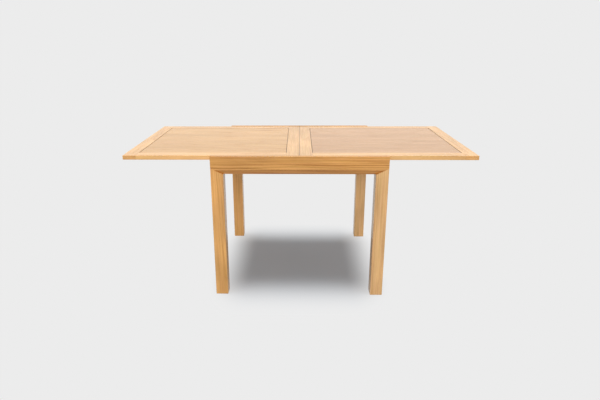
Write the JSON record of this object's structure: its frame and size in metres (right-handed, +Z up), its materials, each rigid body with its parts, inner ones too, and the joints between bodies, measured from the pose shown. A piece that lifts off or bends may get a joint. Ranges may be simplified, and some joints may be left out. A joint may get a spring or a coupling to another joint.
{
  "type": "fold-over extending dining table",
  "caption": "Square oak dining table whose frame-and-panel top folds over at its centre seam and slides, so it opens to double length",
  "frame": {"origin": "on the floor under the middle of the square base, which is the centre of the bounding box's bottom face", "axes": "+X runs along the two leaves towards the folding leaf, +Z is up, and -Y is the front"},
  "size_m": [1.7964, 0.9, 0.7717],
  "materials": {
    "frame_oak": "light oak, clear satin lacquer",
    "panel_oak": "light oak staves, clear satin lacquer",
    "apron_oak": "oak with cathedral grain, clear satin lacquer",
    "leg_oak": "oak, clear satin lacquer",
    "inner_beech": "beech, planed and waxed",
    "brass": "brushed brass",
    "zinc_steel": "zinc-plated steel",
    "felt": "brown wool felt",
    "nylon": "dark brown moulded nylon"
  },
  "bodies": {
    "base": {"leg_front_left": "leg_oak", "leg_front_right": "leg_oak", "leg_rear_left": "leg_oak", "leg_rear_right": "leg_oak", "apron_front": "apron_oak", "apron_rear": "apron_oak", "apron_left": "apron_oak", "apron_right": "apron_oak", "corner_block_front_left": "inner_beech", "corner_block_front_right": "inner_beech", "corner_block_rear_left": "inner_beech", "corner_block_rear_right": "inner_beech", "leg_bolt_front_left": "zinc_steel", "leg_bolt_front_right": "zinc_steel", "leg_bolt_rear_left": "zinc_steel", "leg_bolt_rear_right": "zinc_steel", "foot_glide_front_left": "nylon", "foot_glide_front_right": "nylon", "foot_glide_rear_left": "nylon", "foot_glide_rear_right": "nylon", "slide_rail_front": "inner_beech", "slide_rail_rear": "inner_beech", "slide_rail_screw_front_1": "zinc_steel", "slide_rail_screw_front_2": "zinc_steel", "slide_rail_screw_front_3": "zinc_steel", "slide_rail_screw_rear_1": "zinc_steel", "slide_rail_screw_rear_2": "zinc_steel", "slide_rail_screw_rear_3": "zinc_steel", "felt_strip_left": "felt", "felt_strip_right": "felt"},
    "sliding_leaf": {"sliding_leaf_outer_stile": "frame_oak", "sliding_leaf_inner_stile": "frame_oak", "sliding_leaf_front_rail": "frame_oak", "sliding_leaf_rear_rail": "frame_oak", "sliding_leaf_panel": "panel_oak", "hinge_strap_front_sliding": "brass", "hinge_strap_rear_sliding": "brass", "runner_front": "inner_beech", "runner_screw_front_1": "zinc_steel", "runner_screw_front_2": "zinc_steel", "runner_screw_front_3": "zinc_steel", "runner_rear": "inner_beech", "runner_screw_rear_1": "zinc_steel", "runner_screw_rear_2": "zinc_steel", "runner_screw_rear_3": "zinc_steel", "hinge_pin_front": "brass", "hinge_pin_rear": "brass"},
    "folding_leaf": {"folding_leaf_outer_stile": "frame_oak", "folding_leaf_inner_stile": "frame_oak", "folding_leaf_front_rail": "frame_oak", "folding_leaf_rear_rail": "frame_oak", "folding_leaf_panel": "panel_oak", "hinge_strap_front_folding": "brass", "hinge_strap_rear_folding": "brass"}
  },
  "joints": [
    {"name": "top_slide", "type": "slide", "parent": "base", "child": "sliding_leaf", "axis": [1, 0, 0], "range_m": [0, 0.44915]},
    {"name": "leaf_fold", "type": "hinge", "parent": "sliding_leaf", "child": "folding_leaf", "pos_m": [0, 0, 0.77015], "axis": [0, -1, 0], "range_deg": [0, 180]}
  ]
}
